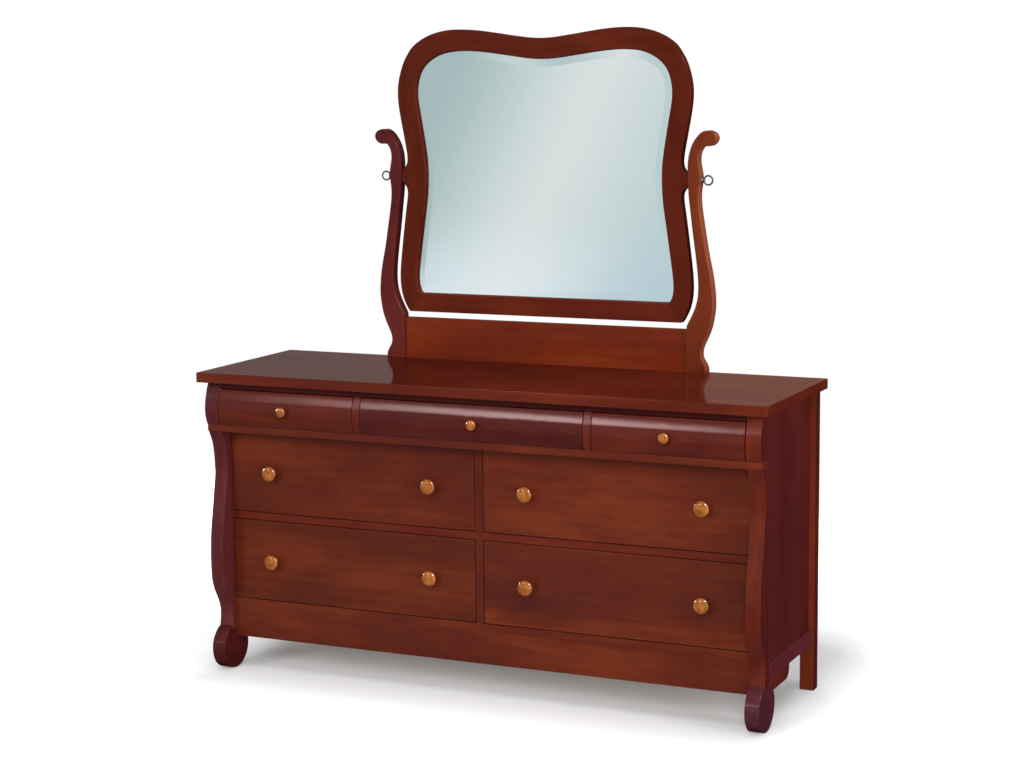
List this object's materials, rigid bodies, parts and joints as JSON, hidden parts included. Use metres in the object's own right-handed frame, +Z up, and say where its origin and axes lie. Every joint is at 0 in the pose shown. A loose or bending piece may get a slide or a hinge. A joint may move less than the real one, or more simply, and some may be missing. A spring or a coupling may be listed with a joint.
{
  "type": "dresser with mirror",
  "caption": "Low wide dresser with S-scroll front posts, curved small drawers over wide flat ones, turned knobs and a tilting shaped mirror on curved uprights.",
  "frame": {"origin": "middle of the footprint on the floor", "axes": "+X to the right seen from the front, +Y to the back, +Z up"},
  "size_m": [1.7272, 0.5484, 1.8622],
  "materials": {
    "cherry_top": "satin varnish, red-brown",
    "cherry_case": "satin varnish, red-brown",
    "cherry_front": "satin varnish, red-brown",
    "cherry_mirror": "satin varnish, red-brown",
    "honey_knob": "gloss varnish, honey",
    "drawer_wood": "bare pale wood",
    "backing_board": "matte thin board",
    "mirror_plate": "silvered, bevelled edge",
    "plated_steel": "plated, bright",
    "screw_steel": "zinc plated"
  },
  "bodies": {
    "case": {"back_panel": "backing_board", "bottom_rail": "cherry_case", "center_partition": "drawer_wood", "center_stile": "cherry_case", "drawer_runners": "drawer_wood", "dust_panel": "drawer_wood", "front_apron": "cherry_case", "front_top_rail": "drawer_wood", "left_drawer_divider": "cherry_case", "left_foot_bracket": "cherry_case", "left_foot_disc": "cherry_case", "left_mirror_support": "cherry_mirror", "left_rear_post": "cherry_case", "left_scroll_post": "cherry_case", "left_side_panel": "cherry_case", "left_side_rail": "cherry_case", "mid_rails": "cherry_case", "mirror_crosspiece": "cherry_mirror", "mirror_mount_screws": "screw_steel", "right_drawer_divider": "cherry_case", "right_foot_bracket": "cherry_case", "right_foot_disc": "cherry_case", "right_mirror_support": "cherry_mirror", "right_rear_post": "cherry_case", "right_scroll_post": "cherry_case", "right_side_panel": "cherry_case", "right_side_rail": "cherry_case", "top_board": "cherry_top", "upper_partitions": "drawer_wood", "waist_rail": "cherry_case"},
    "mirror": {"backing_screws": "screw_steel", "mirror_backing": "backing_board", "mirror_frame_bottom": "cherry_mirror", "mirror_frame_left": "cherry_mirror", "mirror_frame_right": "cherry_mirror", "mirror_frame_top": "cherry_mirror", "mirror_glass": "mirror_plate"},
    "left_screw": {"left_thumbscrew": "plated_steel"},
    "right_screw": {"right_thumbscrew": "plated_steel"},
    "drawer_top_left": {"top_left_front": "cherry_front", "top_left_box": "drawer_wood", "top_left_knobs": "honey_knob"},
    "drawer_top_center": {"top_center_front": "cherry_front", "top_center_box": "drawer_wood", "top_center_knobs": "honey_knob"},
    "drawer_top_right": {"top_right_front": "cherry_front", "top_right_box": "drawer_wood", "top_right_knobs": "honey_knob"},
    "drawer_upper_left": {"upper_left_front": "cherry_front", "upper_left_box": "drawer_wood", "upper_left_knobs": "honey_knob"},
    "drawer_upper_right": {"upper_right_front": "cherry_front", "upper_right_box": "drawer_wood", "upper_right_knobs": "honey_knob"},
    "drawer_lower_left": {"lower_left_front": "cherry_front", "lower_left_box": "drawer_wood", "lower_left_knobs": "honey_knob"},
    "drawer_lower_right": {"lower_right_front": "cherry_front", "lower_right_box": "drawer_wood", "lower_right_knobs": "honey_knob"}
  },
  "joints": [
    {"name": "top_left_drawer_slide", "type": "slide", "parent": "case", "child": "drawer_top_left", "axis": [0, -1, 0], "range_m": [0, 0.34]},
    {"name": "top_center_drawer_slide", "type": "slide", "parent": "case", "child": "drawer_top_center", "axis": [0, -1, 0], "range_m": [0, 0.34]},
    {"name": "top_right_drawer_slide", "type": "slide", "parent": "case", "child": "drawer_top_right", "axis": [0, -1, 0], "range_m": [0, 0.34]},
    {"name": "upper_left_drawer_slide", "type": "slide", "parent": "case", "child": "drawer_upper_left", "axis": [0, -1, 0], "range_m": [0, 0.34]},
    {"name": "upper_right_drawer_slide", "type": "slide", "parent": "case", "child": "drawer_upper_right", "axis": [0, -1, 0], "range_m": [0, 0.34]},
    {"name": "lower_left_drawer_slide", "type": "slide", "parent": "case", "child": "drawer_lower_left", "axis": [0, -1, 0], "range_m": [0, 0.34]},
    {"name": "lower_right_drawer_slide", "type": "slide", "parent": "case", "child": "drawer_lower_right", "axis": [0, -1, 0], "range_m": [0, 0.34]},
    {"name": "mirror_tilt", "type": "hinge", "parent": "case", "child": "mirror", "pos_m": [0, 0.2558, 1.434], "axis": [1, 0, 0], "range_deg": [-30, 30]},
    {"name": "left_screw_turn", "type": "hinge", "parent": "mirror", "child": "left_screw", "pos_m": [-0.4835, 0.2558, 1.434], "axis": [1, 0, 0], "continuous": true},
    {"name": "right_screw_turn", "type": "hinge", "parent": "mirror", "child": "right_screw", "pos_m": [0.4965, 0.2558, 1.434], "axis": [1, 0, 0], "continuous": true}
  ]
}
